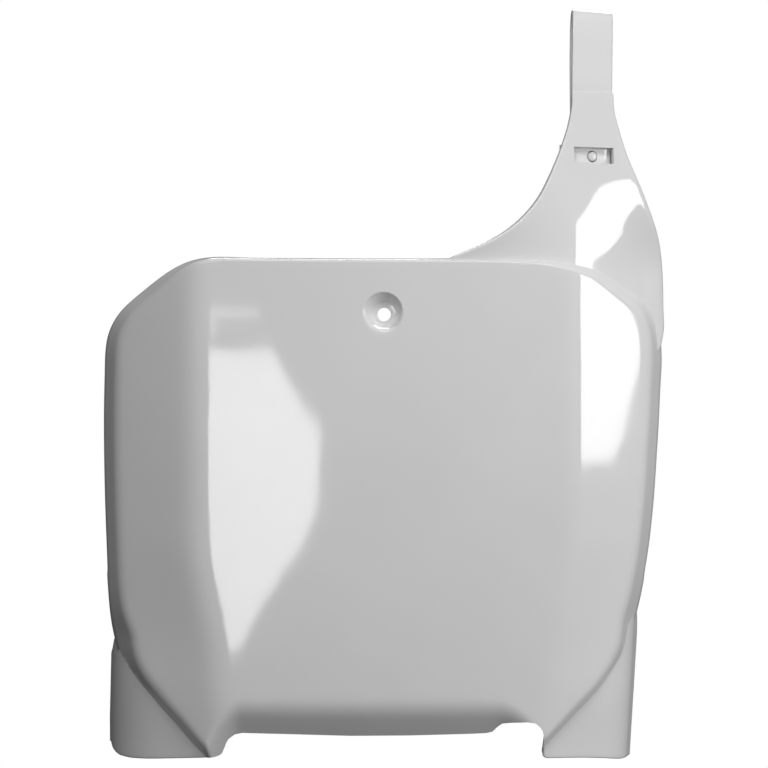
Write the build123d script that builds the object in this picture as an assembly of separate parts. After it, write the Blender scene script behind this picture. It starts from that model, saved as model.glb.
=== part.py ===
from build123d import *
import math
import os

# Off-road motorcycle front number plate, one injection-moulded piece.
# Millimetres. X to the right as seen from the front, Z up, the face looks
# along -Y. The origin is the middle of the bolt hole on the seat for the bolt head.

# ---- driving dimensions ----------------------------------------------------
WALL = 2.4                 # moulded wall
FACE_Y = -7.3              # depth of the face in front of the bolt seat
FACE_CURVE = 1560.0        # middle of the face, y grows by x*x / FACE_CURVE
FACE_RISE = 5200.0         # tall curve of the face, (z + FACE_MID)^2 / FACE_RISE
FACE_MID = 85.0
BEND_AT = 80.0             # where the side bend starts, from the middle
BEND_WIDTH = 18.0
BEND_SLOPE = 0.47
RIM_DEPTH = 12.0           # depth of the turned-back rim behind the face edge
FRONT_PLANE = -15.0        # the side wall is described between these two planes
BACK_PLANE = 66.0

LIP_LINE = -181.1          # start of the bent lower lip
LIP_SLOPE = 0.74

NECK_STEP = 6.0            # set-back of the neck behind the face at its right end
NECK_SLOPE = 0.40          # the neck and the strap face 22 degrees to the right
NECK_X = 95.0

LEG_BEND_X = 101.5         # where the legs start to turn round the forks
LEG_L_RADIUS = 50.0
LEG_R_RADIUS = 25.0
LEG_L_STEP = 7.0
LEG_R_STEP = 5.0
LEG_END = math.radians(75.0)

HOLE_R = 3.25              # clearance hole for an M6 bolt
SEAT_R = 5.6               # flat seat in the recess
CUP_R = 8.7                # mouth of the recess
SEAT_THICK = 2.6

STRAP_THICK = 2.6

# outer outline of the raised face: x, z, depth y, tangent of the wall's draft
FACE_OUTLINE = [
    (-80.2, 25.7, 1.2, 0.12), (-60.0, 25.6, -0.8, 0.08), (-38.6, 25.4, -2.0, 0.08),
    (0.0, 25.2, -3.0, 0.08), (30.3, 25.1, -2.4, 0.10), (58.8, 25.0, 0.2, 0.20),
    (74.1, 24.6, 1.5, 0.34), (84.4, 23.7, 3.7, 0.45), (95.2, 21.3, 7.7, 0.52),
    (104.3, 17.2, 14.1, 0.55), (114.5, 11.5, 21.5, 0.55), (121.4, 6.4, 25.8, 0.52),
    (126.4, 0.9, 31.0, 0.48), (130.0, -6.6, 35.3, 0.44), (131.6, -14.0, 38.0, 0.42),
    (131.9, -20.7, 38.1, 0.42), (131.2, -32.1, 37.4, 0.42), (130.4, -49.1, 36.6, 0.42),
    (129.2, -66.1, 35.5, 0.42), (127.5, -88.8, 34.3, 0.42), (124.8, -111.4, 32.8, 0.42),
    (122.8, -122.6, 31.9, 0.42), (120.6, -134.0, 31.9, 0.42), (117.5, -145.2, 31.0, 0.42),
    (112.6, -156.6, 22.6, 0.44), (106.3, -166.4, 17.3, 0.45), (99.4, -174.3, 13.0, 0.45),
    (90.8, -182.7, 9.6, 0.45), (82.3, -191.1, 6.5, 0.45), (75.7, -197.6, 4.6, 0.42),
    (68.0, -205.5, 4.0, 0.35), (55.0, -212.5, 4.0, 0.25), (30.0, -216.0, 4.0, 0.2),
    (0.0, -217.0, 4.0, 0.2), (-35.0, -217.0, 4.0, 0.2), (-60.0, -215.5, 4.0, 0.25),
    (-73.5, -211.0, 6.0, 0.38), (-82.3, -204.3, 8.5, 0.46), (-89.2, -197.8, 11.3, 0.48),
    (-97.0, -190.0, 15.2, 0.48), (-102.2, -184.8, 17.1, 0.48), (-109.5, -177.6, 21.3, 0.48),
    (-116.6, -170.4, 26.7, 0.48), (-122.4, -163.6, 33.9, 0.47), (-126.4, -157.4, 40.0, 0.46),
    (-128.6, -150.5, 42.0, 0.45), (-129.8, -142.5, 40.0, 0.44), (-130.4, -134.4, 38.0, 0.44),
    (-131.1, -123.0, 37.3, 0.44), (-131.6, -111.7, 37.4, 0.44), (-132.3, -94.6, 37.7, 0.44),
    (-133.0, -66.2, 38.2, 0.44), (-133.1, -43.4, 38.5, 0.44), (-132.8, -26.4, 38.7, 0.44),
    (-132.5, -16.5, 38.7, 0.44), (-131.4, -9.0, 38.2, 0.44), (-129.0, -3.4, 36.7, 0.44),
    (-125.3, 1.9, 34.3, 0.44), (-119.3, 7.4, 30.5, 0.43), (-113.3, 11.9, 26.7, 0.42),
    (-104.7, 17.4, 20.0, 0.38), (-97.2, 21.1, 13.0, 0.30), (-90.8, 23.6, 7.0, 0.22),
    (-85.6, 25.0, 3.5, 0.16),
]

NECK_LEFT = [
    (29.0, 24.0), (33.0, 27.2), (37.1, 28.9), (44.0, 31.9), (50.9, 35.4), (57.9, 40.0),
    (64.8, 46.2), (71.9, 55.4), (76.2, 64.0), (79.5, 71.6), (82.4, 79.2), (84.9, 86.8),
    (86.6, 94.4), (87.2, 100.0), (87.2, 104.2),
]
NECK_RIGHT = [
    (107.2, 104.9), (107.4, 100.0), (107.8, 95.7), (108.6, 91.9), (109.7, 88.2),
    (111.9, 80.7), (114.6, 73.2), (117.9, 65.7), (121.2, 58.2), (124.3, 50.9),
    (127.3, 43.5), (129.7, 36.1), (131.1, 28.7), (131.8, 22.0), (132.1, 14.0),
    (132.2, 4.0), (132.2, -8.0),
]
NECK_INSIDE = [(131.6, -12.0), (122.5, -24.0), (117.5, -8.0), (107.5, 5.0), (94.0, 12.5),
               (74.0, 16.5), (40.0, 17.5), (30.0, 18.0)]


# ---- shape of the surfaces -------------------------------------------------
def smooth(u):
    u = min(max(u, 0.0), 1.0)
    return u * u * (3 - 2 * u)


def turn(u, width, slope):
    # a bend: no slope before 0, the full slope after width
    if u <= 0:
        return 0.0
    if u < width:
        return slope * (u**3 / width**2 - u**4 / (2 * width**3))
    return slope * (u - width / 2)


def plain_face(x, z):
    start = BEND_AT - 10 * smooth((-100 - z) / 70) - 5 * smooth((-165 - z) / 40)
    slope = BEND_SLOPE - 0.15 * smooth((-100 - z) / 90)
    u = abs(x) - start
    return (FACE_Y + x * x / FACE_CURVE + turn(u, BEND_WIDTH, slope)
            + 0.0005 * max(u, 0.0) ** 2 + (z + FACE_MID) ** 2 / FACE_RISE)


def lip_line(x):
    # where the lower edge between the legs starts to bend back
    if x < -66:
        return LIP_LINE - 0.075 * (x + 66) ** 2
    if x > 50:
        return LIP_LINE - 0.03 * (x - 50) ** 2
    return LIP_LINE


def lip(x, z):
    start = lip_line(x)
    return plain_face(x, start) + LIP_SLOPE * (start - z)


def neck_step(x):
    return 1.3 + NECK_STEP * min(max((x - 30) / 92, 0.0), 1.0) ** 1.5


def neck(x, z):
    w = smooth((z - 20) / 45)
    low = plain_face(x, z) + neck_step(x)
    top = plain_face(NECK_X, z) + neck_step(NECK_X) + NECK_SLOPE * (x - NECK_X)
    return (1 - w) * low + w * top + turn(z - 35, 20.0, 0.05)


def leg_left(s, z):
    # s is the distance along the section from the bend, outwards; inwards it is -x
    edge = -129.3 - 1.2 * min(max((-158 - z) / 34, 0.0), 1.0)
    return leg(s, z, LEG_L_RADIUS, LEG_L_STEP, abs(edge), -1)


def leg_right(s, z):
    edge = 117.6 - 3.0 * min(max((-151 - z) / 55, -0.4), 1.2)
    return leg(s, z, LEG_R_RADIUS, LEG_R_STEP, edge, 1)


def leg(s, z, radius, step, edge, side):
    h = 0.01
    tilt = math.atan((plain_face(LEG_BEND_X + h, z) - plain_face(LEG_BEND_X - h, z)) / (2 * h))
    bend_x = edge - radius * (math.sin(LEG_END) - math.sin(tilt))
    if s <= 0:
        x = bend_x + s
        return (side * x, plain_face(x, z) + step, z)
    a = min(tilt + s / radius, LEG_END)
    rest = max(s - radius * (LEG_END - tilt), 0.0)
    y0 = plain_face(bend_x, z) + step
    x = bend_x + radius * (math.sin(a) - math.sin(tilt)) + rest * math.cos(a)
    y = y0 + radius * (math.cos(tilt) - math.cos(a)) + rest * math.sin(a)
    return (side * x, y, z)


def back_edge(x, z):
    # where the turned-back rim ends
    b = smooth((z - 2) / 26) * smooth((x - 20) / 30)
    plate = plain_face(x, z) + RIM_DEPTH
    plate += 18 * smooth((-118 - z) / 34) * smooth((-x - 60) / 50)
    plate += 10 * smooth((-118 - z) / 34) * smooth((x - 60) / 45)
    up = neck(x, z) + WALL + 0.5 + 8.6 * (1 - smooth((z - 28) / 62))
    return (1 - b) * plate + b * up


# ---- builders ----------------------------------------------------------------
def steps(start, stop, step):
    count = max(1, round((stop - start) / step))
    return [start + (stop - start) * i / count for i in range(count + 1)]


def moved_in(f, u, v, depth, h=0.05):
    # the point of surface f at u, v, moved square to it by depth, to the back
    p = Vector(*f(u, v))
    if depth == 0:
        return p
    du = Vector(*f(u + h, v)) - Vector(*f(u - h, v))
    dv = Vector(*f(u, v + h)) - Vector(*f(u, v - h))
    n = du.cross(dv)
    if n.Y < 0:
        n = n * -1
    return p + n.normalized() * depth


def sheet(f, us, vs, depth=0.0):
    rows = [[moved_in(f, u, v, depth) for v in vs] for u in us]
    return Face.make_surface_from_array_of_points(rows, tol=0.01, min_deg=3, max_deg=3)


def behind(surface, reach=140.0):
    return Solid.extrude(surface, Vector(0, reach, 0))


def trimmed(block, surface):
    # the part of block behind the surface
    return solid_of(block - Solid.extrude(surface, Vector(0, -90, 0)))


def graph(g):
    return lambda x, z: (x, g(x, z), z)


def outline_at(y, inset=0.0):
    n = len(FACE_OUTLINE)
    points = []
    for i, (x, z, y0, draft) in enumerate(FACE_OUTLINE):
        ax, az = FACE_OUTLINE[i - 1][0], FACE_OUTLINE[i - 1][1]
        bx, bz = FACE_OUTLINE[(i + 1) % n][0], FACE_OUTLINE[(i + 1) % n][1]
        tx, tz = bx - ax, bz - az
        length = math.hypot(tx, tz)
        nx, nz = -tz / length, tx / length       # outwards, the outline runs clockwise
        out = draft * (y - y0) - inset * math.hypot(1, draft)
        points.append((x + nx * out, z + nz * out))
    return points


def closed_spline(points, y):
    # the same parameters at every depth, so that the wall between two outlines is straight
    at = [0.0]
    for i, p in enumerate(FACE_OUTLINE):
        q = FACE_OUTLINE[(i + 1) % len(FACE_OUTLINE)]
        at.append(at[-1] + math.hypot(q[0] - p[0], q[1] - p[1]))
    return Wire([Edge.make_spline([Vector(x, y, z) for x, z in points], periodic=True, parameters=at)])


def wall_prism(inset=0.0):
    return Solid.make_loft([closed_spline(outline_at(FRONT_PLANE, inset), FRONT_PLANE),
                            closed_spline(outline_at(BACK_PLANE, inset), BACK_PLANE)], True)


def wire_of(parts, y):
    # parts: lists of (x, z); two points make a line, more make a spline
    edges = []
    for p in parts:
        v = [Vector(x, y, z) for x, z in p]
        edges.append(Edge.make_line(v[0], v[1]) if len(v) == 2 else Edge.make_spline(v))
    return Wire(edges)


def prism(parts, y0, y1):
    return Solid.extrude(Face(wire_of(parts, y0)), Vector(0, y1 - y0, 0))


def offset_points(points, inset):
    moved = []
    for i, (x, z) in enumerate(points):
        a, b = points[max(i - 1, 0)], points[min(i + 1, len(points) - 1)]
        tx, tz = b[0] - a[0], b[1] - a[1]
        length = math.hypot(tx, tz)
        moved.append((x + tz / length * inset, z - tx / length * inset))
    return moved


def solid_of(shape):
    found = shape.solids() if hasattr(shape, "solids") else [shape]
    return max(found, key=lambda s: s.volume)


# ---- lower outline: leg ends and the notch between them -----------------------
BOTTOM = [
    [(-170.0, -203.6), (-131.2, -203.6)],
    [(-131.2, -203.6), (-129.6, -206.6), (-126.0, -208.3), (-120.4, -208.5)],
    [(-120.4, -208.5), (-112.0, -207.9), (-100.6, -206.9), (-85.3, -205.6), (-78.6, -204.9)],
    [(-78.6, -204.9), (-75.4, -203.8), (-74.0, -200.6)],
    [(-74.0, -200.6), (-72.0, -196.4), (-69.2, -194.2), (-65.6, -193.4)],
    [(-65.6, -193.4), (-43.5, -193.8), (-15.8, -194.5), (12.0, -194.3), (39.7, -193.6), (47.0, -193.3)],
    [(47.0, -193.3), (50.0, -192.6), (52.2, -190.2), (54.4, -188.5), (58.0, -188.0)],
    [(58.0, -188.0), (66.2, -187.5)],
    [(66.2, -187.5), (71.4, -189.2), (73.5, -194.0)],
    [(73.5, -194.0), (73.3, -202.6)],
    [(73.3, -202.6), (74.0, -204.4), (75.8, -205.0)],
    [(75.8, -205.0), (84.0, -205.3), (93.2, -205.8), (103.5, -206.7), (112.0, -208.1)],
    [(112.0, -208.1), (150.0, -209.0)],
    [(150.0, -209.0), (150.0, -260.0)],
    [(150.0, -260.0), (-170.0, -260.0)],
    [(-170.0, -260.0), (-170.0, -203.6)],
]
bottom_cut = prism(BOTTOM, -60, 150)

# ---- raised face -------------------------------------------------------------
FACE_XS = steps(-150, -96, 9) + steps(-90, -54, 4) + steps(-42, 42, 12) + steps(54, 90, 4) + steps(96, 150, 9)
FACE_ZS = steps(-230, 50, 14)
LIP_XS = steps(-94, 84, 4)
LIP_ZS = steps(-232, -166, 11)


def face_block(inset):
    block = solid_of(behind(sheet(graph(plain_face), FACE_XS, FACE_ZS, inset)) & wall_prism(inset))
    lower = Solid.extrude(sheet(graph(lip), LIP_XS, LIP_ZS, inset), Vector(0, -60, 0))
    return solid_of(block - lower)


face_out = face_block(0.0)
face_in = face_block(WALL)

# ---- neck --------------------------------------------------------------------
NECK_XS = steps(10, 74, 16) + steps(80, 150, 5)
NECK_ZS = steps(-36, 114, 10)

neck_outline = [NECK_LEFT, [NECK_LEFT[-1], NECK_RIGHT[0]], NECK_RIGHT,
                [NECK_RIGHT[-1], NECK_INSIDE[0]]]
neck_outline += [[NECK_INSIDE[i], NECK_INSIDE[i + 1]] for i in range(len(NECK_INSIDE) - 1)]
neck_outline += [[NECK_INSIDE[-1], NECK_LEFT[0]]]
neck_out = trimmed(prism(neck_outline, -40, BACK_PLANE + 20), sheet(graph(neck), NECK_XS, NECK_ZS))

left_in = offset_points([p for p in NECK_LEFT if p[1] < 93], WALL)
right_in = offset_points([p for p in NECK_RIGHT if p[1] < 93], WALL)
inside_in = [(129.0, -10.5), (121.5, -19.0), (116.0, -5.0), (106.5, 8.0), (93.0, 15.2),
             (74.0, 19.0), (40.0, 19.8), (31.5, 19.8)]
neck_hollow = [left_in, [left_in[-1], right_in[0]], right_in, [right_in[-1], inside_in[0]]]
neck_hollow += [[inside_in[i], inside_in[i + 1]] for i in range(len(inside_in) - 1)]
neck_hollow += [[inside_in[-1], left_in[0]]]
neck_in = trimmed(prism(neck_hollow, -40, BACK_PLANE + 20), sheet(graph(neck), NECK_XS, NECK_ZS, WALL))

# ---- legs --------------------------------------------------------------------
LEG_ZS = steps(-226, -112, 19)
LEG_L_US = steps(-42, 0, 7) + steps(6, 78, 6)
LEG_R_US = steps(-42, 0, 7) + steps(4, 44, 4)

leg_l_out = behind(sheet(leg_left, LEG_L_US, LEG_ZS))
leg_l_in = behind(sheet(leg_left, LEG_L_US, LEG_ZS, WALL))
leg_r_out = behind(sheet(leg_right, LEG_R_US, LEG_ZS))
leg_r_in = behind(sheet(leg_right, LEG_R_US, LEG_ZS, WALL))


BACK_XS = steps(-150, 150, 12)
BACK_ZS = steps(-226, 120, 12)
back_cut = behind(sheet(graph(back_edge), BACK_XS, BACK_ZS), 260)
wall_middle = wall_prism(WALL / 2)   # legs and neck end inside the rim wall


def shell(outside, inside):
    return solid_of(outside - inside)


# ---- recess and hole for the bolt ---------------------------------------------
def disc(x, y, z, radius):
    return Wire.make_circle(radius, Plane(origin=(x, y, z), x_dir=(1, 0, 0), z_dir=(0, -1, 0)))


cup = Solid.make_loft([disc(0.1, 0, 0.46, SEAT_R),
                       disc(-0.85, -12, 2.55, SEAT_R + (CUP_R - SEAT_R) * 12 / 5.9)], True)
boss = Solid.make_loft([disc(0.1, SEAT_THICK, 0.3, 7.4), disc(-0.9, -12, 2.6, 14.6)], True)
boss = solid_of(boss - Solid.extrude(sheet(graph(plain_face), steps(-40, 40, 10), steps(-40, 40, 10), 0.9),
                                     Vector(0, -30, 0)))
hole = Solid.make_cylinder(HOLE_R, 30, Plane(origin=(0, 15, 0), x_dir=(1, 0, 0), z_dir=(0, -1, 0)))

# ---- strap, window, keeper and peg ----------------------------------------------
STRAP_W = 21.1
STRAP_Z = 103.5
STRAP_X = 96.9
STRAP_LEAN = 1.5           # degrees, to the right going up
ALONG = Vector(1, NECK_SLOPE, 0).normalized()       # across the strap
BACK = Vector(-NECK_SLOPE, 1, 0).normalized()       # square to it, to the back
ROOT = Vector(STRAP_X, neck(STRAP_X, STRAP_Z), 0)

STRAP_PATH = [  # middle of the strap: distance behind the neck face, height
    (1.3, 97.0), (1.65, 105.0), (3.8, 120.0), (6.2, 135.5), (7.1, 139.2), (9.3, 141.9),
    (12.9, 142.8), (16.4, 141.9), (18.7, 139.2), (19.6, 135.5), (18.5, 124.5),
    (13.8, 109.5), (7.7, 96.5), (3.3, 86.8), (1.8, 80.0), (1.6, 74.0), (0.9, 66.0), (0.1, 58.5),
]


def at(side, back, height):
    # a point in the strap's own frame
    return ROOT + ALONG * side + BACK * back + Vector(0, 0, height)


def strap_at(side, back, height):
    # the strap runs straight back, so that its rear run hides behind the front one
    return ROOT + ALONG * side + Vector(0, back / BACK.Y, height)


def beside(path, amounts):
    moved = []
    for i, (d, h) in enumerate(path):
        a, b = path[max(i - 1, 0)], path[min(i + 1, len(path) - 1)]
        td, th = b[0] - a[0], b[1] - a[1]
        length = math.hypot(td, th)
        moved.append((d + th / length * amounts[i], h - td / length * amounts[i]))
    return moved


half = [1.12, 1.2] + [STRAP_THICK / 2] * (len(STRAP_PATH) - 2)
inner = [strap_at(-STRAP_W / 2, d, h) for d, h in beside(STRAP_PATH, half)]
outer = [strap_at(-STRAP_W / 2, d, h) for d, h in beside(STRAP_PATH, [-v for v in half])]
strap_side = Face(Wire([Edge.make_spline(outer), Edge.make_line(outer[-1], inner[-1]),
                        Edge.make_spline(list(reversed(inner))), Edge.make_line(inner[0], outer[0])]))
strap = Solid.extrude(strap_side, ALONG * STRAP_W)
try:
    strap = strap.fillet(0.9, [e for e in strap.edges() if e.length > 100])
except ValueError:
    pass
strap = strap.rotate(Axis(at(0, 0, STRAP_Z), BACK), STRAP_LEAN)

WINDOW_W, WINDOW_H = 20.3, 7.5
WINDOW_Z = 74.3
WINDOW_X = 96.5
WINDOW_D = -3.3            # neck face at the window, in the strap's frame
PEG_R = 2.3


def block_at(side, back0, back1, height, width, tall):
    centre = at(side, (back0 + back1) / 2, height)
    return Solid.make_box(width, back1 - back0, tall,
                          Plane(origin=centre - ALONG * (width / 2) - BACK * ((back1 - back0) / 2)
                                - Vector(0, 0, tall / 2), x_dir=ALONG, z_dir=(0, 0, 1)))


def rod_at(side, back0, back1, height, radius):
    return Solid.make_cylinder(radius, back1 - back0,
                               Plane(origin=at(side, back0, height), x_dir=ALONG, z_dir=BACK))


window_side = (WINDOW_X - STRAP_X) / ALONG.X
window = block_at(window_side, WINDOW_D - 4, WINDOW_D + WALL + 0.6, WINDOW_Z, WINDOW_W, WINDOW_H)
peg_side = window_side + 0.6
strap = solid_of(strap - rod_at(peg_side, -1.5, 5, WINDOW_Z - 0.3, PEG_R + 0.4))
bar = block_at(window_side, 3.4, 5.7, WINDOW_Z, 27.2, 10.0)
post_l = block_at(window_side - 12.5, WINDOW_D + 1.5, 4.5, WINDOW_Z, 2.2, 9.4)
post_r = block_at(window_side + 12.5, WINDOW_D + 1.5, 4.5, WINDOW_Z, 2.2, 9.4)
peg = rod_at(peg_side, -0.6, 4.2, WINDOW_Z - 0.3, PEG_R)
keeper = solid_of(bar + post_l + post_r + peg)

# ---- the one moulded piece --------------------------------------------------------
plate = shell(face_out, face_in)
plate = solid_of(plate + boss)
plate = solid_of(plate - cup)
plate = solid_of(plate - hole)
plate = solid_of(plate + shell(shell(neck_out, neck_in), wall_middle))
plate = solid_of(plate + shell(shell(leg_l_out, leg_l_in), wall_middle))
plate = solid_of(plate + shell(shell(leg_r_out, leg_r_in), wall_middle))
plate = solid_of(plate - bottom_cut)
plate = solid_of(plate - back_cut)
plate = solid_of(plate - window)
plate = solid_of(plate + keeper)
plate = solid_of(plate + strap)

os.makedirs("parts", exist_ok=True)
export_step(plate, "parts/number_plate.step")
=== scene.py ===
import bpy
import bmesh
import math
from mathutils import Vector, Matrix


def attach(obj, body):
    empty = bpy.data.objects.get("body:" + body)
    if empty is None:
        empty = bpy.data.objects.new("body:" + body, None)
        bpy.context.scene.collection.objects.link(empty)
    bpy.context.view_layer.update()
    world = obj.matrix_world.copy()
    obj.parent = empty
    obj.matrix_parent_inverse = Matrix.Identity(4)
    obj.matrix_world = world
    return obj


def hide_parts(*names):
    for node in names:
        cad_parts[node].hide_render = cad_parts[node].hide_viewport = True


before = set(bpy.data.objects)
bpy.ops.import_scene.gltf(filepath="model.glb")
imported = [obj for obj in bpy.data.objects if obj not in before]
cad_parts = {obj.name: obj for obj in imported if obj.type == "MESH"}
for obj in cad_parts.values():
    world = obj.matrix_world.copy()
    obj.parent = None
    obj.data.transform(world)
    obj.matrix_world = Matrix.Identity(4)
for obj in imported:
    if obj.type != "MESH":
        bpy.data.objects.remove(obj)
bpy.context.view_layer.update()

# ---- shape of the moulded piece, in millimetres -----------------------------
WALL = 2.4
FACE_Y = -7.3
FACE_CURVE = 1560.0
FACE_RISE = 5200.0
FACE_MID = 85.0
BEND_AT = 80.0
BEND_WIDTH = 18.0
BEND_SLOPE = 0.47
RIM_DEPTH = 12.0
LIP_LINE = -181.1
LIP_SLOPE = 0.74
NECK_STEP = 6.0
NECK_SLOPE = 0.40
NECK_X = 95.0
LEG_BEND_X = 101.5
LEG_END = math.radians(75.0)

FACE_OUTLINE = [
    (-80.2, 25.7, 1.2, 0.12), (-60.0, 25.6, -0.8, 0.08), (-38.6, 25.4, -2.0, 0.08),
    (0.0, 25.2, -3.0, 0.08), (30.3, 25.1, -2.4, 0.10), (58.8, 25.0, 0.2, 0.20),
    (74.1, 24.6, 1.5, 0.34), (84.4, 23.7, 3.7, 0.45), (95.2, 21.3, 7.7, 0.52),
    (104.3, 17.2, 14.1, 0.55), (114.5, 11.5, 21.5, 0.55), (121.4, 6.4, 25.8, 0.52),
    (126.4, 0.9, 31.0, 0.48), (130.0, -6.6, 35.3, 0.44), (131.6, -14.0, 38.0, 0.42),
    (131.9, -20.7, 38.1, 0.42), (131.2, -32.1, 37.4, 0.42), (130.4, -49.1, 36.6, 0.42),
    (129.2, -66.1, 35.5, 0.42), (127.5, -88.8, 34.3, 0.42), (124.8, -111.4, 32.8, 0.42),
    (122.8, -122.6, 31.9, 0.42), (120.6, -134.0, 31.9, 0.42), (117.5, -145.2, 31.0, 0.42),
    (112.6, -156.6, 22.6, 0.44), (106.3, -166.4, 17.3, 0.45), (99.4, -174.3, 13.0, 0.45),
    (90.8, -182.7, 9.6, 0.45), (82.3, -191.1, 6.5, 0.45), (75.7, -197.6, 4.6, 0.42),
    (68.0, -205.5, 4.0, 0.35), (55.0, -212.5, 4.0, 0.25), (30.0, -216.0, 4.0, 0.2),
    (0.0, -217.0, 4.0, 0.2), (-35.0, -217.0, 4.0, 0.2), (-60.0, -215.5, 4.0, 0.25),
    (-73.5, -211.0, 6.0, 0.38), (-82.3, -204.3, 8.5, 0.46), (-89.2, -197.8, 11.3, 0.48),
    (-97.0, -190.0, 15.2, 0.48), (-102.2, -184.8, 17.1, 0.48), (-109.5, -177.6, 21.3, 0.48),
    (-116.6, -170.4, 26.7, 0.48), (-122.4, -163.6, 33.9, 0.47), (-126.4, -157.4, 40.0, 0.46),
    (-128.6, -150.5, 42.0, 0.45), (-129.8, -142.5, 40.0, 0.44), (-130.4, -134.4, 38.0, 0.44),
    (-131.1, -123.0, 37.3, 0.44), (-131.6, -111.7, 37.4, 0.44), (-132.3, -94.6, 37.7, 0.44),
    (-133.0, -66.2, 38.2, 0.44), (-133.1, -43.4, 38.5, 0.44), (-132.8, -26.4, 38.7, 0.44),
    (-132.5, -16.5, 38.7, 0.44), (-131.4, -9.0, 38.2, 0.44), (-129.0, -3.4, 36.7, 0.44),
    (-125.3, 1.9, 34.3, 0.44), (-119.3, 7.4, 30.5, 0.43), (-113.3, 11.9, 26.7, 0.42),
    (-104.7, 17.4, 20.0, 0.38), (-97.2, 21.1, 13.0, 0.30), (-90.8, 23.6, 7.0, 0.22),
    (-85.6, 25.0, 3.5, 0.16),
]
# neck outline, clockwise seen from the front: x, z, radius of the edge
NECK_OUTLINE = [
    (29.0, 24.0, 0.8), (37.1, 28.9, 1.2), (44.0, 31.9, 1.5), (50.9, 35.4, 1.7), (57.9, 40.0, 1.8),
    (64.8, 46.2, 1.8), (71.9, 55.4, 1.8), (76.2, 64.0, 1.8), (79.5, 71.6, 1.8), (82.4, 79.2, 1.7),
    (84.9, 86.8, 1.5), (86.6, 94.4, 1.2), (87.2, 100.0, 1.0), (87.2, 104.0, 0.9), (92.0, 104.4, 0.6),
    (102.0, 104.7, 0.6), (107.2, 104.7, 0.8), (107.4, 100.0, 1.0), (107.8, 95.7, 1.3),
    (108.6, 91.9, 1.6), (109.7, 88.2, 2.0), (111.9, 80.7, 2.4), (114.6, 73.2, 2.8),
    (117.9, 65.7, 3.0), (121.2, 58.2, 3.0), (124.3, 50.9, 3.0), (127.3, 43.5, 3.0),
    (129.7, 36.1, 2.8), (131.1, 28.7, 2.6), (131.8, 22.0, 2.4), (132.1, 14.0, 2.2),
    (132.2, 4.0, 2.0), (132.2, -8.0, 1.6), (129.0, -17.0, 0.8), (122.5, -19.0, 0.8),
    (117.5, -8.0, 0.8), (107.5, 5.0, 0.8), (94.0, 12.5, 0.8), (74.0, 16.5, 0.8),
    (50.0, 17.4, 0.8), (33.0, 18.2, 0.8),
]
LEG_BOTTOM = [
    (-140.0, -203.0), (-131.2, -203.6), (-130.6, -205.2), (-129.6, -206.6), (-128.0, -207.6),
    (-126.0, -208.3), (-120.4, -208.5), (-112.0, -207.9), (-100.6, -206.9), (-85.3, -205.6),
    (-78.6, -204.9), (-76.6, -204.4), (-75.2, -203.4), (-74.0, -200.6), (-73.2, -198.4),
    (-72.0, -196.4), (-69.2, -194.2), (-65.6, -193.4), (-43.5, -193.8), (-15.8, -194.5),
    (12.0, -194.3), (39.7, -193.6), (47.0, -193.3), (50.0, -192.6), (52.2, -190.2),
    (54.4, -188.5), (58.0, -188.0), (66.2, -187.5), (69.5, -188.0), (71.8, -189.9),
    (73.1, -192.0), (73.5, -194.0), (73.3, -202.6), (73.6, -203.9), (74.4, -204.7),
    (75.8, -205.0), (84.0, -205.3), (93.2, -205.8), (103.5, -206.7), (112.0, -208.1),
    (150.0, -209.0),
]


def smooth(u):
    u = min(max(u, 0.0), 1.0)
    return u * u * (3 - 2 * u)


def soft_max(a, b, k):
    h = max(k - abs(a - b), 0.0) / k
    return max(a, b) + h * h * k * 0.25


def turn(u, width, slope):
    if u <= 0:
        return 0.0
    if u < width:
        return slope * (u**3 / width**2 - u**4 / (2 * width**3))
    return slope * (u - width / 2)


def plain_face(x, z):
    start = BEND_AT - 10 * smooth((-100 - z) / 70) - 5 * smooth((-165 - z) / 40)
    slope = BEND_SLOPE - 0.15 * smooth((-100 - z) / 90)
    u = abs(x) - start
    return (FACE_Y + x * x / FACE_CURVE + turn(u, BEND_WIDTH, slope)
            + 0.0005 * max(u, 0.0) ** 2 + (z + FACE_MID) ** 2 / FACE_RISE)


def lip_line(x):
    if x < -66:
        return LIP_LINE - 0.075 * (x + 66) ** 2
    if x > 50:
        return LIP_LINE - 0.03 * (x - 50) ** 2
    return LIP_LINE


def face(x, z):
    start = lip_line(x)
    plain = plain_face(x, z)
    if z > start + 30:
        return plain
    return soft_max(plain, plain_face(x, start) + LIP_SLOPE * (start - z), 3.4)


def neck_step(x):
    return 1.3 + NECK_STEP * min(max((x - 30) / 92, 0.0), 1.0) ** 1.5


def neck(x, z):
    w = smooth((z - 20) / 45)
    low = plain_face(x, z) + neck_step(x)
    top = plain_face(NECK_X, z) + neck_step(NECK_X) + NECK_SLOPE * (x - NECK_X)
    return (1 - w) * low + w * top + turn(z - 35, 20.0, 0.05)


def leg(s, z, radius, step, edge, side):
    h = 0.01
    tilt = math.atan((plain_face(LEG_BEND_X + h, z) - plain_face(LEG_BEND_X - h, z)) / (2 * h))
    bend_x = edge - radius * (math.sin(LEG_END) - math.sin(tilt))
    if s <= 0:
        x = bend_x + s
        return Vector((side * x, plain_face(x, z) + step, z))
    a = min(tilt + s / radius, LEG_END)
    rest = max(s - radius * (LEG_END - tilt), 0.0)
    y0 = plain_face(bend_x, z) + step
    x = bend_x + radius * (math.sin(a) - math.sin(tilt)) + rest * math.cos(a)
    y = y0 + radius * (math.cos(tilt) - math.cos(a)) + rest * math.sin(a)
    return Vector((side * x, y, z))


def leg_left(s, z):
    edge = 129.3 + 1.2 * min(max((-158 - z) / 34, 0.0), 1.0)
    return leg(s, z, 50.0, 7.0, edge, -1)


def leg_right(s, z):
    edge = 117.6 - 3.0 * min(max((-151 - z) / 55, -0.4), 1.2)
    return leg(s, z, 25.0, 5.0, edge, 1)


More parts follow.
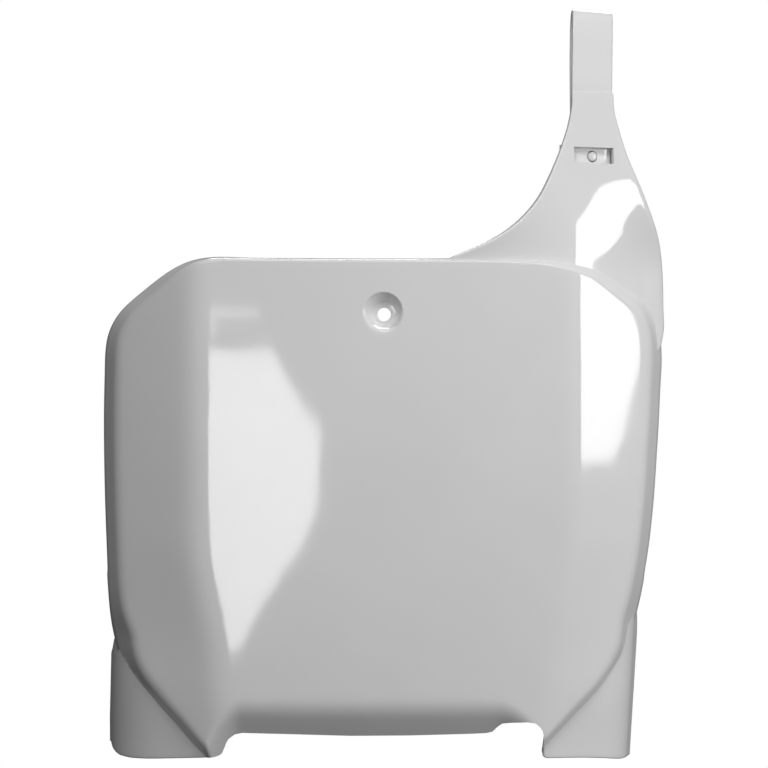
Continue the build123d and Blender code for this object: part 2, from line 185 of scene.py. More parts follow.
def back_edge(x, z):
    b = smooth((z - 2) / 26) * smooth((x - 20) / 30)
    plate = plain_face(x, z) + RIM_DEPTH
    plate += 18 * smooth((-118 - z) / 34) * smooth((-x - 60) / 50)
    plate += 10 * smooth((-118 - z) / 34) * smooth((x - 60) / 45)
    up = neck(x, z) + WALL + 0.5 + 8.6 * (1 - smooth((z - 28) / 62))
    return (1 - b) * plate + b * up


# ---- mesh tools --------------------------------------------------------------
def mesh_object(name, points, faces):
    mesh = bpy.data.meshes.new(name)
    mesh.from_pydata([(p[0] * 0.001, p[1] * 0.001, p[2] * 0.001) for p in points], [], faces)
    bm = bmesh.new()
    bm.from_mesh(mesh)
    bmesh.ops.triangulate(bm, faces=bm.faces)
    bmesh.ops.recalc_face_normals(bm, faces=bm.faces)
    if bm.calc_volume() < 0:
        bmesh.ops.reverse_faces(bm, faces=bm.faces)
    bm.to_mesh(mesh)
    bm.free()
    obj = bpy.data.objects.new(name, mesh)
    bpy.context.scene.collection.objects.link(obj)
    return obj


def combine(target, tool, operation):
    # joins or cuts two closed meshes
    modifier = target.modifiers.new("combine", "BOOLEAN")
    modifier.operation = operation
    modifier.object = tool
    try:
        modifier.solver = "MANIFOLD"
    except TypeError:
        modifier.solver = "EXACT"
    graph = bpy.context.evaluated_depsgraph_get()
    made = bpy.data.meshes.new_from_object(target.evaluated_get(graph))
    old = target.data
    target.modifiers.clear()
    target.data = made
    bpy.data.meshes.remove(old)
    used = tool.data
    bpy.data.objects.remove(tool)
    bpy.data.meshes.remove(used)
    bpy.context.view_layer.update()
    return target


def resampled(points, count, passes):
    # a smooth closed curve through the points, as evenly spaced points
    n = len(points)
    width = len(points[0])
    dense = []
    for i in range(n):
        p0, p1, p2, p3 = points[i - 1], points[i], points[(i + 1) % n], points[(i + 2) % n]
        d0 = max(math.hypot(p1[0] - p0[0], p1[1] - p0[1]), 0.01)
        d1 = max(math.hypot(p2[0] - p1[0], p2[1] - p1[1]), 0.01)
        d2 = max(math.hypot(p3[0] - p2[0], p3[1] - p2[1]), 0.01)
        for j in range(24):
            t = j / 24
            value = []
            for k in range(width):
                m1 = d1 * ((p1[k] - p0[k]) / d0 * d1 + (p2[k] - p1[k]) / d1 * d0) / (d0 + d1)
                m2 = d1 * ((p2[k] - p1[k]) / d1 * d2 + (p3[k] - p2[k]) / d2 * d1) / (d1 + d2)
                value.append((2 * t**3 - 3 * t**2 + 1) * p1[k] + (t**3 - 2 * t**2 + t) * m1
                             + (3 * t**2 - 2 * t**3) * p2[k] + (t**3 - t**2) * m2)
            dense.append(value)
    run = [0.0]
    for i in range(len(dense)):
        a, b = dense[i], dense[(i + 1) % len(dense)]
        run.append(run[-1] + math.hypot(b[0] - a[0], b[1] - a[1]))
    out = []
    i = 0
    for j in range(count):
        at = run[-1] * j / count
        while run[i + 1] < at:
            i += 1
        f = (at - run[i]) / max(run[i + 1] - run[i], 1e-9)
        a, b = dense[i], dense[(i + 1) % len(dense)]
        out.append([a[k] + (b[k] - a[k]) * f for k in range(width)])
    for _ in range(passes):
        out = [[0.25 * out[i - 1][k] + 0.5 * out[i][k] + 0.25 * out[(i + 1) % count][k]
                for k in range(width)] for i in range(count)]
    return out


def ring_shell(name, curve, centre, front, back, inner_rings, outer_rings):
    # a domed cap with a turned-back wall: curve holds x, z, wall depth y0, draft, edge radius
    n = len(curve)
    rings = []
    edge = {"front": [], "inner": []}
    columns = []
    for i, (x, z, y0, draft, radius) in enumerate(curve):
        a, b = curve[i - 1], curve[(i + 1) % n]
        tx, tz = b[0] - a[0], b[1] - a[1]
        length = math.hypot(tx, tz)
        nx, nz = -tz / length, tx / length
        lean = math.hypot(1, draft)

        def out(y, inset=0.0):
            off = draft * (y - y0) - inset * lean
            return (x + nx * off, z + nz * off)

        def meet(surface, inset):
            low, high = -40.0, 90.0
            for _ in range(40):
                mid = (low + high) / 2
                if surface(*out(mid, inset)) > mid:
                    low = mid
                else:
                    high = mid
            return (low + high) / 2

        def inside(px, pz):
            h = 0.05
            fx = (front(px + h, pz) - front(px - h, pz)) / (2 * h)
            fz = (front(px, pz + h) - front(px, pz - h)) / (2 * h)
            return front(px, pz) + WALL * math.sqrt(1 + fx * fx + fz * fz)

        ye = meet(front, 0.0)
        yb = meet(back, 0.0)
        if z < -112:
            yb = min(yb, max(y0 + 1.0 + 14 * smooth((-150 - z) / 40), ye + 8.0))
        yb = max(yb, ye + WALL + 1.6)
        ex, ez = out(ye)
        column = []
        px, pz = ex - nx * radius, ez - nz * radius
        p0 = Vector((px, front(px, pz), pz))
        p1 = Vector((ex, ye, ez))
        y2 = min(ye + radius, yb - 0.9)
        p2x, p2z = out(y2)
        p2 = Vector((p2x, y2, p2z))
        for j in range(8):
            t = j / 7
            column.append(p0 * (1 - t) ** 2 + p1 * (2 * t * (1 - t)) + p2 * t * t)
        for j in range(1, 5):
            y = y2 + (yb - 0.8 - y2) * j / 4
            q = out(y)
            column.append(Vector((q[0], y, q[1])))
        for inset, up in ((0.25, 0.25), (0.8, 0.0), (WALL - 0.8, 0.0), (WALL - 0.25, 0.25)):
            q = out(yb - up, inset)
            column.append(Vector((q[0], yb - up, q[1])))
        yi = min(meet(inside, WALL), yb - 1.2)
        for j in range(4):
            y = yb - 0.8 + (yi - yb + 0.8) * j / 3
            q = out(y, WALL)
            column.append(Vector((q[0], y, q[1])))
        columns.append(column)
        last = column[-1]
        edge["front"].append((px, pz))
        edge["inner"].append((last.x, last.z))
        edge["inside"] = inside
    points, faces = [], []
    cx, cz = centre

    def add_ring(values):
        start = len(points)
        points.extend(values)
        return start

    starts = []
    for r in range(1, outer_rings):
        s = r / outer_rings
        starts.append(add_ring([Vector((cx + (x - cx) * s, front(cx + (x - cx) * s, cz + (z - cz) * s),
                                        cz + (z - cz) * s)) for x, z in edge["front"]]))
    for j in range(len(columns[0])):
        starts.append(add_ring([c[j] for c in columns]))
    inside = edge["inside"]
    for r in range(inner_rings - 1, 0, -1):
        s = r / inner_rings
        starts.append(add_ring([Vector((cx + (x - cx) * s, inside(cx + (x - cx) * s, cz + (z - cz) * s),
                                        cz + (z - cz) * s)) for x, z in edge["inner"]]))
    first = add_ring([Vector((cx, front(cx, cz), cz))])
    final = add_ring([Vector((cx, inside(cx, cz), cz))])
    for a, b in zip(starts, starts[1:]):
        for i in range(n):
            k = (i + 1) % n
            faces.append((a + i, a + k, b + k, b + i))
    for i in range(n):
        k = (i + 1) % n
        faces.append((first, starts[0] + k, starts[0] + i))
        faces.append((final, starts[-1] + i, starts[-1] + k))
    return mesh_object(name, points, faces)


def wall_block(name, curve, inset, y0, y1):
    # everything inside the drafted wall, between two depths
    n = len(curve)
    points = []
    for y in (y0, y1):
        for i, (x, z, yy, draft, radius) in enumerate(curve):
            a, b = curve[i - 1], curve[(i + 1) % n]
            tx, tz = b[0] - a[0], b[1] - a[1]
            length = math.hypot(tx, tz)
            off = draft * (y - yy) - inset * math.hypot(1, draft)
            points.append((x - tz / length * off, y, z + tx / length * off))
    faces = [(i, (i + 1) % n, n + (i + 1) % n, n + i) for i in range(n)]
    faces += [tuple(range(n - 1, -1, -1)), tuple(range(n, 2 * n))]
    return mesh_object(name, points, faces)


def prism(name, outline, y0, y1):
    n = len(outline)
    points = [(x, y0, z) for x, z in outline] + [(x, y1, z) for x, z in outline]
    faces = [(i, (i + 1) % n, n + (i + 1) % n, n + i) for i in range(n)]
    faces += [tuple(range(n - 1, -1, -1)), tuple(range(n, 2 * n))]
    return mesh_object(name, points, faces)


def thick_sheet(name, place, us, vs, thickness, radius):
    # place(u, v) in 0..1; a sheet with rounded borders, u and v are moved in near the border
    h = 1e-3

    def moved(u, v, depth, eu, ev):
        # eu, ev: distance in from the border, in millimetres, signed towards the middle
        p = place(u, v)
        du = place(min(u + h, 1), v) - place(max(u - h, 0), v)
        dv = place(u, min(v + h, 1)) - place(u, max(v - h, 0))
        normal = du.cross(dv)
        if normal.y < 0:
            normal = -normal
        normal.normalize()
        return p + du.normalized() * eu + dv.normalized() * ev + normal * depth

    nu, nv = len(us), len(vs)

    def corner_in(i, j, e):
        eu = e if i == 0 else (-e if i == nu - 1 else 0.0)
        ev = e if j == 0 else (-e if j == nv - 1 else 0.0)
        return eu, ev

    points, faces = [], []
    grids = []
    for depth in (0.0, thickness):
        start = len(points)
        for i in range(nu):
            for j in range(nv):
                eu, ev = corner_in(i, j, radius)
                points.append(moved(us[i], vs[j], depth, eu, ev))
        grids.append(start)
    loop = [(i, 0) for i in range(nu)] + [(nu - 1, j) for j in range(1, nv)]
    loop += [(i, nv - 1) for i in range(nu - 2, -1, -1)] + [(0, j) for j in range(nv - 2, 0, -1)]
    rows = [[grids[0] + i * nv + j for i, j in loop]]
    steps = []
    for k in range(1, 5):
        a = math.radians(22.5 * k)
        steps.append((radius * (1 - math.sin(a)), radius * (1 - math.cos(a))))
    for k in range(0, 4):
        a = math.radians(22.5 * k)
        steps.append((radius * (1 - math.cos(a)), thickness - radius * (1 - math.sin(a))))
    for e, depth in steps:
        row = []
        for i, j in loop:
            eu, ev = corner_in(i, j, e)
            points.append(moved(us[i], vs[j], depth, eu, ev))
            row.append(len(points) - 1)
        rows.append(row)
    rows.append([grids[1] + i * nv + j for i, j in loop])
    for i in range(nu - 1):
        for j in range(nv - 1):
            a = grids[0] + i * nv + j
            faces.append((a, a + 1, a + nv + 1, a + nv))
            a = grids[1] + i * nv + j
            faces.append((a, a + nv, a + nv + 1, a + 1))
    m = len(loop)
    for a, b in zip(rows, rows[1:]):
        for i in range(m):
            k = (i + 1) % m
            faces.append((a[i], a[k], b[k], b[i]))
    return mesh_object(name, points, faces)


def turned(name, profile, origin, axis, side, count=72):
    # profile: distance along the axis, radius, sideways shift (x, z)
    points, faces = [], []
    up = axis.cross(side).normalized()
    for d, r, sx, sz in profile:
        for i in range(count):
            a = 2 * math.pi * i / count
            points.append(origin + axis * d + side * (sx + r * math.cos(a)) + up * (sz + r * math.sin(a)))
    for j in range(len(profile) - 1):
        for i in range(count):
            k = (i + 1) % count
            faces.append((j * count + i, j * count + k, (j + 1) * count + k, (j + 1) * count + i))
    faces.append(tuple(range(count)))
    faces.append(tuple(range((len(profile) - 1) * count, len(profile) * count)))
    return mesh_object(name, points, faces)


def bottom_at(x):
    # lowest point of the lower outline at x
    found = []
    for (ax, az), (bx, bz) in zip(LEG_BOTTOM, LEG_BOTTOM[1:]):
        if min(ax, bx) <= x <= max(ax, bx):
            f = (x - ax) / (bx - ax) if abs(bx - ax) > 1e-6 else 0.0
            found.append(az + (bz - az) * f)
    return min(found)


# ---- the raised face with its rim ---------------------------------------------
def edge_radius(x, z):
    side = smooth((abs(x) - 60) / 55) * (1 - 0.35 * smooth((z - 5) / 20))
    right = 0.75 if x > 0 else 1.0
    return 1.3 + 2.6 * side * right


panel_curve = resampled(FACE_OUTLINE, 600, 8)
panel_curve = [(x, z, y0, draft, edge_radius(x, z)) for x, z, y0, draft in panel_curve]
panel = ring_shell("number_plate_body", panel_curve, (0.0, -95.0), face, back_edge, 24, 52)

UP = Vector((0, 0, 1))
SIDE = Vector((1, 0, 0))
FRONT = Vector((0, -1, 0))


def shift(y):
    # the recess leans: sideways and up shift at depth y
    t = -y / 12.0
    return (0.1 - 0.95 * t, 0.46 + 2.09 * t)


boss_profile = []
for y, r in ((2.6, 6.6), (2.5, 7.1), (2.2, 7.4), (0.0, 8.6), (-3.0, 10.2), (-4.5, 11.0)):
    sx, sz = shift(y)
    boss_profile.append((-y, r, sx, sz))
panel = combine(panel, turned("boss", boss_profile, Vector((0, 0, 0)), FRONT, SIDE), "UNION")
cup_profile = []
for y, r in ((0.0, 4.9), (-0.06, 5.2), (-0.22, 5.42), (-0.5, 5.62), (-1.5, 6.35), (-3.0, 7.15), (-4.2, 7.78),
             (-4.8, 8.12), (-5.2, 8.4), (-5.5, 8.68), (-5.75, 9.0), (-5.92, 9.4), (-6.0, 9.9), (-7.5, 16.0),
             (-12.0, 17.0)):
    sx, sz = shift(y)
    cup_profile.append((-y, r, sx, sz))
panel = combine(panel, turned("cup", cup_profile, Vector((0, 0, 0)), FRONT, SIDE, 96), "DIFFERENCE")
hole_profile = [(-12.0, 3.25, 0, 0), (-2.75, 3.25, 0, 0), (-2.3, 3.1, 0, 0), (-0.35, 3.1, 0, 0),
                (-0.1, 3.2, 0, 0), (0.15, 3.5, 0, 0), (6.0, 3.6, 0, 0)]
panel = combine(panel, turned("hole", hole_profile, Vector((0, 0, 0)), FRONT, SIDE, 96), "DIFFERENCE")
outline = LEG_BOTTOM + [(150.0, -260.0), (-140.0, -260.0)]
panel = combine(panel, prism("lower_cut", outline, -60, 150), "DIFFERENCE")

# ---- legs ------------------------------------------------------------------------
def leg_place(surface, side, inner_x, low, high):
    def limit(z):
        a, b = 0.0, 120.0
        for _ in range(30):
            m = (a + b) / 2
            p = surface(m, z)
            if back_edge(p.x, z) > p.y:
                a = m
            else:
                b = m
        return a

    spans = {}

    def place(u, v):
        # u from the inner end outwards, v from the top down
        key = round(v, 6)
        guess = -118 - 88 * v
        if key not in spans:
            bend = surface(0.0, guess).x * side
            spans[key] = (inner_x - bend, limit(guess))
        s0, s1 = spans[key]
        s = s0 + (s1 - s0) * u
        x = surface(s, guess).x
        floor = bottom_at(min(max(x, low), high))
        return surface(s, -118 + (floor + 118) * v)

    return place


def eased(count):
    return [i / (count - 1) for i in range(count)]


leg_l = thick_sheet("leg_left", leg_place(leg_left, -1, 74.0, -131.1, -74.1), eased(64), eased(44), WALL, 0.7)
leg_r = thick_sheet("leg_right", leg_place(leg_right, 1, 73.5, 73.6, 118.0), eased(52), eased(44), WALL, 0.7)
leg_l = combine(leg_l, wall_block("inner_a", panel_curve, WALL / 2, -15, 80), "DIFFERENCE")
leg_r = combine(leg_r, wall_block("inner_b", panel_curve, WALL / 2, -15, 80), "DIFFERENCE")

# ---- neck -------------------------------------------------------------------------
neck_curve = resampled(NECK_OUTLINE, 340, 3)
neck_curve = [(x, z, neck(x, z) + 2.0, 0.04, r) for x, z, r in neck_curve]
neck_part = ring_shell("neck", neck_curve, (101.0, 40.0), neck, back_edge, 12, 30)
neck_part = combine(neck_part, wall_block("inner_c", panel_curve, WALL / 2, -15, 80), "DIFFERENCE")

ALONG = Vector((1, NECK_SLOPE, 0)).normalized()
BACK = Vector((-NECK_SLOPE, 1, 0)).normalized()
STRAP_X, STRAP_Z, STRAP_W = 96.9, 103.5, 21.1
ROOT = Vector((STRAP_X, neck(STRAP_X, STRAP_Z), 0))


def at(side, back, height):
    return ROOT + ALONG * side + BACK * back + UP * height


def block(name, side, back0, back1, height, width, tall):
    points = []
    for s in (side - width / 2, side + width / 2):
        for b in (back0, back1):
            for h in (height - tall / 2, height + tall / 2):
                points.append(at(s, b, h))
    faces = [(0, 1, 3, 2), (4, 6, 7, 5), (0, 4, 5, 1), (2, 3, 7, 6), (0, 2, 6, 4), (1, 5, 7, 3)]
    return mesh_object(name, points, faces)


WINDOW_X, WINDOW_Z, WINDOW_D = 96.5, 74.3, -3.3
window_side = (WINDOW_X - STRAP_X) / ALONG.x
peg_side = window_side + 0.6
neck_part = combine(neck_part, block("window", window_side, WINDOW_D - 4, WINDOW_D + WALL + 0.6,
                                     WINDOW_Z, 20.3, 7.5), "DIFFERENCE")

# ---- strap ----------------------------------------------------------------------------
STRAP_PATH = [
    (1.3, 97.0), (1.65, 105.0), (3.8, 120.0), (6.2, 135.5), (7.1, 139.2), (9.3, 141.9),
    (12.9, 142.8), (16.4, 141.9), (18.7, 139.2), (19.6, 135.5), (18.5, 124.5),
    (13.8, 109.5), (7.7, 96.5), (3.3, 86.8), (1.8, 80.0), (1.6, 74.0), (0.9, 66.0), (0.1, 58.5),
]


def open_curve(points, count):
    n = len(points)
    run = [0.0]
    for a, b in zip(points, points[1:]):
        run.append(run[-1] + math.dist(a, b))
    tangents = []
    for i in range(n):
        a, b = max(i - 1, 0), min(i + 1, n - 1)
        if a == i or b == i:
            tangents.append([(points[b][k] - points[a][k]) / (run[b] - run[a]) for k in (0, 1)])
        else:
            d0, d1 = run[i] - run[a], run[b] - run[i]
            tangents.append([((points[i][k] - points[a][k]) / d0 * d1
                              + (points[b][k] - points[i][k]) / d1 * d0) / (d0 + d1) for k in (0, 1)])
    out = []
    i = 0
    for j in range(count):
        s = run[-1] * j / (count - 1)
        while i < n - 2 and run[i + 1] < s:
            i += 1
        d = run[i + 1] - run[i]
        t = min((s - run[i]) / d, 1.0)
        out.append([(2 * t**3 - 3 * t**2 + 1) * points[i][k] + (t**3 - 2 * t**2 + t) * d * tangents[i][k]
                    + (3 * t**2 - 2 * t**3) * points[i + 1][k] + (t**3 - t**2) * d * tangents[i + 1][k]
                    for k in (0, 1)])
    return out


def strap_mesh():
    path = open_curve(STRAP_PATH, 190)
    for _ in range(4):
        path = [path[0]] + [[(path[i - 1][k] + 2 * path[i][k] + path[i + 1][k]) / 4 for k in (0, 1)]
                            for i in range(1, len(path) - 1)] + [path[-1]]
    section = []
    w, t = STRAP_W / 2, 1.3
    rf, rb = 1.15, 1.0
    for cx, ct, r, a0 in ((w, t, rb, 0), (-w, t, rb, 90), (-w, -t, rf, 180), (w, -t, rf, 270)):
        mx = cx - r if cx > 0 else cx + r
        mt = ct - r if ct > 0 else ct + r
        for k in range(6):
            a = math.radians(a0 + 18 * k)
            section.append((mx + r * math.cos(a), mt + r * math.sin(a)))
    more = []
    for i, p in enumerate(section):
        q = section[(i + 1) % len(section)]
        more.append(p)
        if math.dist(p, q) > 3:
            cuts = 8
            more += [(p[0] + (q[0] - p[0]) * k / cuts, p[1] + (q[1] - p[1]) * k / cuts) for k in range(1, cuts)]
    section = more
    points, faces = [], []
    lean = Matrix.Rotation(math.radians(1.5), 3, BACK)
    pivot = at(0, 0, STRAP_Z)
    m = len(section)
    for i, (d, h) in enumerate(path):
        a, b = path[max(i - 1, 0)], path[min(i + 1, len(path) - 1)]
        td, th = b[0] - a[0], b[1] - a[1]
        length = math.hypot(td, th)
        for s, q in section:
            # the strap runs straight back, so that its rear run hides behind the front one
            p = ROOT + ALONG * s + Vector((0, (d + th / length * q) / BACK.y, h - td / length * q))
            points.append(pivot + lean @ (p - pivot))
    for i in range(len(path) - 1):
        for k in range(m):
            l = (k + 1) % m
            faces.append((i * m + k, i * m + l, (i + 1) * m + l, (i + 1) * m + k))
    faces.append(tuple(range(m)))
    faces.append(tuple(range((len(path) - 1) * m, len(path) * m)))
    return mesh_object("strap", points, faces)


strap = strap_mesh()
strap = combine(strap, turned("peg_hole", [(-1.5, 2.7, 0, 0), (5.0, 2.7, 0, 0)],
                              at(peg_side, 0, WINDOW_Z - 0.3), BACK, ALONG, 48), "DIFFERENCE")
keeper = block("bar", window_side, 3.4, 5.7, WINDOW_Z, 27.2, 10.0)
keeper = combine(keeper, block("post_l", window_side - 12.5, WINDOW_D + 1.5, 4.5, WINDOW_Z, 2.2, 9.4), "UNION")
keeper = combine(keeper, block("post_r", window_side + 12.5, WINDOW_D + 1.5, 4.5, WINDOW_Z, 2.2, 9.4), "UNION")
keeper = combine(keeper, turned("peg", [(-0.95, 0.4, 0, 0), (-0.93, 1.0, 0, 0), (-0.78, 1.6, 0, 0),
                                        (-0.45, 2.05, 0, 0), (0.1, 2.3, 0, 0), (4.2, 2.3, 0, 0)],
                                at(peg_side, 0, WINDOW_Z - 0.3), BACK, ALONG, 48), "UNION")

# ---- one moulded piece -------------------------------------------------------------------
for part in (neck_part, leg_l, leg_r, keeper, strap):
    panel = combine(panel, part, "UNION")
mesh = panel.data
mesh.shade_smooth()
mesh.set_sharp_from_angle(angle=math.radians(34))
print("plate triangles", sum(len(p.vertices) - 2 for p in mesh.polygons))
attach(panel, "root")
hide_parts("number_plate")


# ---- glossy white plastic -------------------------------------------------------------------
def plastic():
    material = bpy.data.materials.new("gloss_white_plastic")
    material.use_nodes = True
    nodes, links = material.node_tree.nodes, material.node_tree.links
    shader = nodes["Principled BSDF"]
    shader.inputs["IOR"].default_value = 1.49
    place = nodes.new("ShaderNodeTexCoord")
    # faint cloudiness of the moulding
    cloud = nodes.new("ShaderNodeTexNoise")
    cloud.inputs["Scale"].default_value = 14.0
    cloud.inputs["Detail"].default_value = 3.0
    links.new(place.outputs["Object"], cloud.inputs["Vector"])
    tone = nodes.new("ShaderNodeValToRGB")
    tone.color_ramp.elements[0].position = 0.3
    tone.color_ramp.elements[0].color = (0.770, 0.770, 0.770, 1)
    tone.color_ramp.elements[1].position = 0.7
    tone.color_ramp.elements[1].color = (0.800, 0.800, 0.800, 1)
    links.new(cloud.outputs["Fac"], tone.inputs["Fac"])
    # tiny dust specks in the plastic
    dust = nodes.new("ShaderNodeTexVoronoi")
    dust.inputs["Scale"].default_value = 62.0
    links.new(place.outputs["Object"], dust.inputs["Vector"])
    near = nodes.new("ShaderNodeMath")
    near.operation = "LESS_THAN"
    near.inputs[1].default_value = 0.016
    links.new(dust.outputs["Distance"], near.inputs[0])
    pick = nodes.new("ShaderNodeSeparateColor")
    links.new(dust.outputs["Color"], pick.inputs["Color"])
    few = nodes.new("ShaderNodeMath")
    few.operation = "GREATER_THAN"
    few.inputs[1].default_value = 0.93
    links.new(pick.outputs["Red"], few.inputs[0])
    both = nodes.new("ShaderNodeMath")
    both.operation = "MULTIPLY"
    links.new(near.outputs[0], both.inputs[0])
    links.new(few.outputs[0], both.inputs[1])
    mix = nodes.new("ShaderNodeMix")
    mix.data_type = "RGBA"
    mix.inputs["B"].default_value = (0.42, 0.41, 0.40, 1)
    links.new(both.outputs[0], mix.inputs["Factor"])
    links.new(tone.outputs["Color"], mix.inputs["A"])
    links.new(mix.outputs["Result"], shader.inputs["Base Color"])
    # polish: small changes of gloss, and fine handling marks
    fine = nodes.new("ShaderNodeTexNoise")
    fine.inputs["Scale"].default_value = 90.0
    fine.inputs["Detail"].default_value = 5.0
    links.new(place.outputs["Object"], fine.inputs["Vector"])
    gloss = nodes.new("ShaderNodeMapRange")
    gloss.inputs["To Min"].default_value = 0.045
    gloss.inputs["To Max"].default_value = 0.085
    links.new(fine.outputs["Fac"], gloss.inputs["Value"])
    links.new(gloss.outputs["Result"], shader.inputs["Roughness"])
    # long waves of the moulding and a faint orange peel
    wave = nodes.new("ShaderNodeTexNoise")
    wave.inputs["Scale"].default_value = 22.0
    wave.inputs["Detail"].default_value = 1.0
    links.new(place.outputs["Object"], wave.inputs["Vector"])
    peel = nodes.new("ShaderNodeTexNoise")
    peel.inputs["Scale"].default_value = 420.0
    peel.inputs["Detail"].default_value = 2.0
    links.new(place.outputs["Object"], peel.inputs["Vector"])
    bump_a = nodes.new("ShaderNodeBump")
    bump_a.inputs["Strength"].default_value = 0.25
    bump_a.inputs["Distance"].default_value = 0.0009
    links.new(wave.outputs["Fac"], bump_a.inputs["Height"])
    bump_b = nodes.new("ShaderNodeBump")
    bump_b.inputs["Strength"].default_value = 0.12
    bump_b.inputs["Distance"].default_value = 0.00003
    links.new(peel.outputs["Fac"], bump_b.inputs["Height"])
    links.new(bump_a.outputs["Normal"], bump_b.inputs["Normal"])
    links.new(bump_b.outputs["Normal"], shader.inputs["Normal"])
    return material


panel.data.materials.clear()
panel.data.materials.append(plastic())


# ---- studio ------------------------------------------------------------------------------------
def direction(azimuth, elevation):
    # from the plate: 0 is towards the camera, right is positive
    a, e = math.radians(azimuth), math.radians(elevation)
    return Vector((math.sin(a) * math.cos(e), -math.cos(a) * math.cos(e), math.sin(e)))


def glow(name, strength):
    material = bpy.data.materials.new(name)
    material.use_nodes = True
    nodes, links = material.node_tree.nodes, material.node_tree.links
    nodes.clear()
    emission = nodes.new("ShaderNodeEmission")
    emission.inputs["Color"].default_value = (1, 1, 1, 1)
    emission.inputs["Strength"].default_value = strength
    target = nodes.new("ShaderNodeOutputMaterial")
    links.new(emission.outputs[0], target.inputs["Surface"])
    return material


def lamp_panel(name, corners, distance, strength):
    # a softbox: corners as (azimuth, elevation) seen from the plate
    points = [direction(a, e) * distance * 1000 + Vector((0, 0, -85)) for a, e in corners]
    middle = sum(points, Vector()) / len(points)
    points.append(middle)
    n = len(corners)
    mesh = bpy.data.meshes.new(name)
    mesh.from_pydata([p * 0.001 for p in points], [], [(i, (i + 1) % n, n) for i in range(n)])
    obj = bpy.data.objects.new(name, mesh)
    bpy.context.scene.collection.objects.link(obj)
    obj.data.materials.append(glow(name + "_glow", strength))
    obj.visible_camera = False
    return obj


lamp_panel("octabox", [(-18.4, 6.0), (-14.5, 5.7), (-11.7, 6.1), (-10.5, 4.8), (-8.2, 2.5), (-6.6, 1.9),
                       (-6.9, -1.4), (-6.4, -2.7), (-7.5, -4.1), (-10.8, -6.4), (-11.0, -7.1), (-13.7, -9.5),
                       (-14.2, -10.7), (-16.2, -11.1), (-17.2, -9.0), (-18.3, -6.8), (-19.0, -3.5),
                       (-19.2, 0.8), (-18.9, 3.5)], 1.75, 8.2)
lamp_panel("octabox_rim", [(-18.3, 8.0), (-13.0, 8.1), (-13.0, 7.8), (-18.3, 7.65)], 1.75, 8.0)
lamp_panel("octabox_tab", [(-18.2, 7.35), (-16.9, 7.3), (-16.8, 7.05), (-18.2, 7.0)], 1.75, 7.0)
lamp_panel("side_box", [(52.0, 17.0), (52.0, -0.3), (71.0, -0.3), (72.2, 1.2), (73.2, 2.9), (74.2, 4.5),
                        (74.8, 6.5), (74.8, 17.0)], 1.5, 9.5)


def area(name, azimuth, elevation, distance, width, height, power):
    light = bpy.data.lights.new(name, "AREA")
    light.shape = "RECTANGLE"
    light.size = width
    light.size_y = height
    light.energy = power
    obj = bpy.data.objects.new(name, light)
    bpy.context.scene.collection.objects.link(obj)
    target = Vector((0, 0, -0.06))
    obj.location = target + direction(azimuth, elevation) * distance
    obj.rotation_euler = (target - obj.location).to_track_quat("-Z", "Y").to_euler()
    return obj


area("key", 10, 50, 1.35, 0.95, 0.7, 5.2)
area("left_fill", -13, 41, 1.4, 0.8, 0.6, 4.2)
area("back_fill", 172, 42, 2.2, 1.4, 1.0, 34)

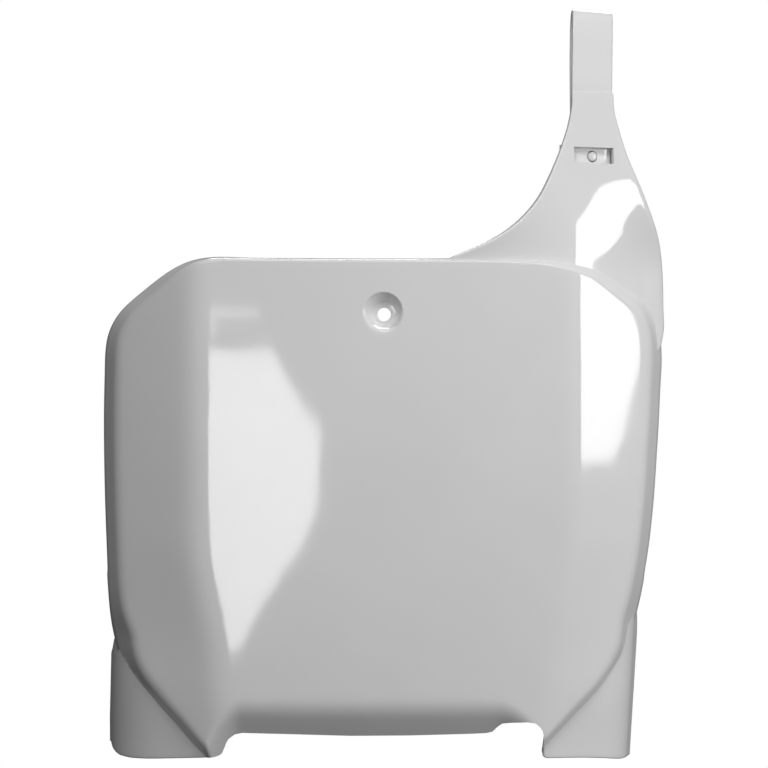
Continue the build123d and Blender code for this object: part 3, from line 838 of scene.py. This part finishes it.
floor_mesh = bpy.data.meshes.new("floor")
floor_mesh.from_pydata([(-1.5, -1.2, -0.60), (1.5, -1.2, -0.60), (1.5, 1.3, -0.60), (-1.5, 1.3, -0.60)],
                       [], [(0, 1, 2, 3)])
floor = bpy.data.objects.new("floor", floor_mesh)
bpy.context.scene.collection.objects.link(floor)
pale = bpy.data.materials.new("pale_floor")
pale.use_nodes = True
pale.node_tree.nodes["Principled BSDF"].inputs["Base Color"].default_value = (0.80, 0.80, 0.79, 1)
pale.node_tree.nodes["Principled BSDF"].inputs["Emission Color"].default_value = (1, 1, 1, 1)
pale.node_tree.nodes["Principled BSDF"].inputs["Emission Strength"].default_value = 0.5
pale.node_tree.nodes["Principled BSDF"].inputs["Roughness"].default_value = 0.7
floor.data.materials.append(pale)
floor.visible_diffuse = False
floor.visible_glossy = False

world = bpy.data.worlds.new("studio")
bpy.context.scene.world = world
world.use_nodes = True
nodes, links = world.node_tree.nodes, world.node_tree.links
nodes.clear()
place = nodes.new("ShaderNodeTexCoord")
split = nodes.new("ShaderNodeSeparateXYZ")
links.new(place.outputs["Generated"], split.inputs[0])
across = nodes.new("ShaderNodeMapRange")
across.inputs["From Min"].default_value = -0.9
across.inputs["From Max"].default_value = 0.9
across.inputs["To Min"].default_value = 0.0
across.inputs["To Max"].default_value = 0.27
links.new(split.outputs["X"], across.inputs["Value"])
down = nodes.new("ShaderNodeMapRange")
down.inputs["From Min"].default_value = -0.5
down.inputs["From Max"].default_value = 0.5
down.inputs["To Min"].default_value = 0.30
down.inputs["To Max"].default_value = 1.6
links.new(split.outputs["Z"], down.inputs["Value"])
level = nodes.new("ShaderNodeMath")
level.operation = "MULTIPLY"
links.new(across.outputs["Result"], level.inputs[0])
links.new(down.outputs["Result"], level.inputs[1])
room = nodes.new("ShaderNodeBackground")
links.new(level.outputs[0], room.inputs["Strength"])
paper = nodes.new("ShaderNodeBackground")
paper.inputs["Strength"].default_value = 1.0
paper.inputs["Color"].default_value = (1, 1, 1, 1)
rays = nodes.new("ShaderNodeLightPath")
choose = nodes.new("ShaderNodeMixShader")
links.new(rays.outputs["Is Camera Ray"], choose.inputs[0])
links.new(room.outputs[0], choose.inputs[1])
links.new(paper.outputs[0], choose.inputs[2])
target = nodes.new("ShaderNodeOutputWorld")
links.new(choose.outputs[0], target.inputs["Surface"])
bpy.context.scene.view_settings.view_transform = "Standard"

camera = bpy.data.cameras.new("camera")
camera.lens = 36.0 * 1250.0 / 353.28
camera.sensor_width = 36.0
camera.clip_end = 20.0
view = bpy.data.objects.new("camera", camera)
view.location = (-0.00005, -1.25, -0.03206)
view.rotation_euler = (math.radians(90), 0, 0)
bpy.context.scene.collection.objects.link(view)
bpy.context.scene.camera = view

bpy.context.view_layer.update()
